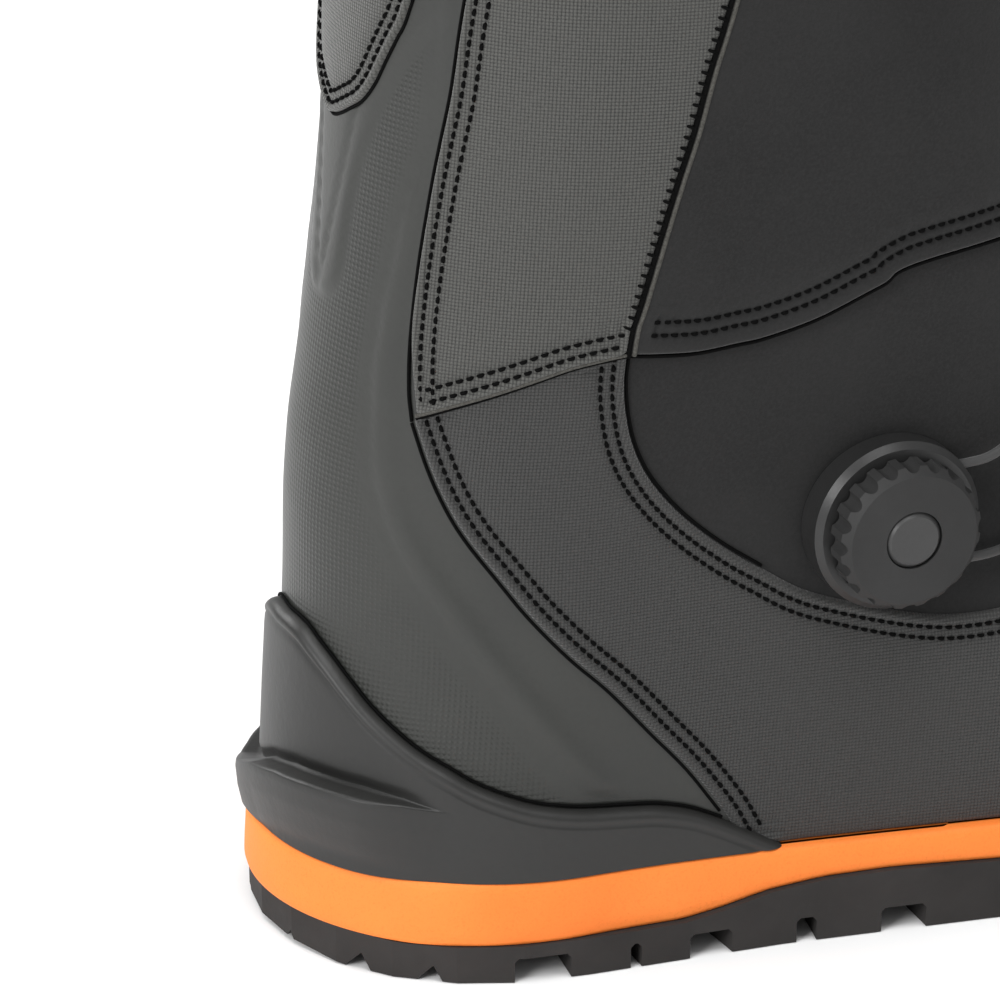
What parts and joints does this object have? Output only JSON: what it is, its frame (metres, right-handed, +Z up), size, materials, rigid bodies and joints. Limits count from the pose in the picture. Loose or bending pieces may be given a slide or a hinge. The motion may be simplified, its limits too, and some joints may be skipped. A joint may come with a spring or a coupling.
{
  "type": "soft alpine boot",
  "caption": "Soft alpine boot, right foot: stitched textile upper with a flexing cuff, padded inner boot, rubber heel cup with a rear welt ledge, foam midsole, lugged outsole, dial laces.",
  "frame": {"origin": "on the ground plane under the middle of the sole", "axes": "+X to the toe, +Y to the inner (medial) side of this right boot, +Z up"},
  "size_m": [0.3008, 0.1288, 0.312],
  "materials": {
    "outsole_rubber": "matt moulded rubber",
    "midsole_foam": "fine pored foam",
    "steel": "brushed",
    "board": "matt fibre board",
    "liner_foam": "brushed knit over foam",
    "footbed_fabric": "brushed knit",
    "shell_fabric": "plain weave",
    "backstay_skin": "satin moulded skin",
    "woven_fabric": "coarse plain weave, lightly coated",
    "dark_nubuck": "fine nubuck-like fabric",
    "counter_rubber": "satin moulded rubber",
    "eyestay_skin": "satin",
    "lining_fabric": "padded knit",
    "binding_fabric": "folded tape",
    "tongue_fabric": "ripstop over foam",
    "lace_cord": "braided",
    "guide_plastic": "satin",
    "dial_plastic": "satin",
    "knob_rubber": "matt overmoulded rubber",
    "cap_plastic": "satin",
    "webbing": "flat woven tape"
  },
  "bodies": {
    "lower_boot": {"outsole": "outsole_rubber", "midsole": "midsole_foam", "shank": "steel", "lasting_board": "board", "liner_sole": "liner_foam", "footbed": "footbed_fabric", "foot_shell": "shell_fabric", "backstay_lower": "backstay_skin", "vamp": "woven_fabric", "lateral_ankle_patch": "dark_nubuck", "lateral_quarter": "woven_fabric", "medial_ankle_patch": "dark_nubuck", "medial_quarter": "woven_fabric", "heel_counter": "counter_rubber", "toe_cap": "counter_rubber", "lower_eyestay_lateral": "eyestay_skin", "lower_eyestay_medial": "eyestay_skin", "ankle_gusset": "shell_fabric", "liner_flex_zone": "liner_foam", "tongue_base": "tongue_fabric", "tongue_flex": "tongue_fabric", "liner_foot": "liner_foam", "lower_dial_seat": "dial_plastic", "lower_dial_screw": "steel", "lower_lace": "lace_cord", "lower_guides_lateral": "guide_plastic", "lower_guides_medial": "guide_plastic", "lower_lace_keeper": "eyestay_skin"},
    "cuff": {"cuff_shell": "shell_fabric", "backstay_upper": "backstay_skin", "lateral_cuff_panel": "woven_fabric", "lateral_cuff_front": "dark_nubuck", "medial_cuff_panel": "woven_fabric", "medial_cuff_front": "dark_nubuck", "rear_cuff_patch": "woven_fabric", "upper_eyestay_lateral": "eyestay_skin", "upper_eyestay_medial": "eyestay_skin", "collar_binding": "binding_fabric", "cuff_lining": "lining_fabric", "liner_cuff": "liner_foam", "rear_pull_loop": "webbing", "upper_dial_seat": "dial_plastic", "upper_dial_screw": "steel", "upper_lace": "lace_cord", "upper_guides_lateral": "guide_plastic", "upper_guides_medial": "guide_plastic"},
    "tongue": {"tongue_upper": "tongue_fabric", "tongue_padding": "lining_fabric", "liner_tongue": "liner_foam", "tongue_pull_loop": "webbing"},
    "upper_cap": {"upper_dial_cap": "cap_plastic"},
    "upper_knob": {"upper_dial_knob": "knob_rubber"},
    "upper_spool": {"upper_dial_spool": "dial_plastic"},
    "lower_cap": {"lower_dial_cap": "cap_plastic"},
    "lower_knob": {"lower_dial_knob": "knob_rubber"},
    "lower_spool": {"lower_dial_spool": "dial_plastic"}
  },
  "joints": [
    {"name": "cuff_flex", "type": "hinge", "parent": "lower_boot", "child": "cuff", "pos_m": [-0.082, 0, 0.112], "axis": [0, 1, 0], "range_deg": [-4, 12], "stiffness_Nm_per_rad": 60, "deforming": ["ankle_gusset", "liner_flex_zone", "tongue_flex"]},
    {"name": "tongue_fold", "type": "hinge", "parent": "cuff", "child": "tongue", "pos_m": [0.019, 0, 0.174], "axis": [0, 1, 0], "range_deg": [0, 25], "deforming": ["upper_lace"]},
    {"name": "upper_dial_lift", "type": "slide", "parent": "cuff", "child": "upper_cap", "axis": [0, -1, 0], "range_m": [0, 0.0025]},
    {"name": "upper_dial_turn", "type": "hinge", "parent": "upper_cap", "child": "upper_knob", "pos_m": [-0.032, 0, 0.216], "axis": [0, -1, 0], "continuous": true},
    {"name": "upper_spool_turn", "type": "hinge", "parent": "cuff", "child": "upper_spool", "pos_m": [-0.032, 0, 0.216], "axis": [0, -1, 0], "continuous": true},
    {"name": "lower_dial_lift", "type": "slide", "parent": "lower_boot", "child": "lower_cap", "axis": [0, -1, 0], "range_m": [0, 0.0025]},
    {"name": "lower_dial_turn", "type": "hinge", "parent": "lower_cap", "child": "lower_knob", "pos_m": [-0.036, 0, 0.084], "axis": [0, -1, 0], "continuous": true},
    {"name": "lower_spool_turn", "type": "hinge", "parent": "lower_boot", "child": "lower_spool", "pos_m": [-0.036, 0, 0.084], "axis": [0, -1, 0], "continuous": true}
  ],
  "couplings": [
    {"joint": "upper_spool_turn", "follows": "upper_dial_turn", "ratio": 1},
    {"joint": "lower_spool_turn", "follows": "lower_dial_turn", "ratio": 1}
  ]
}
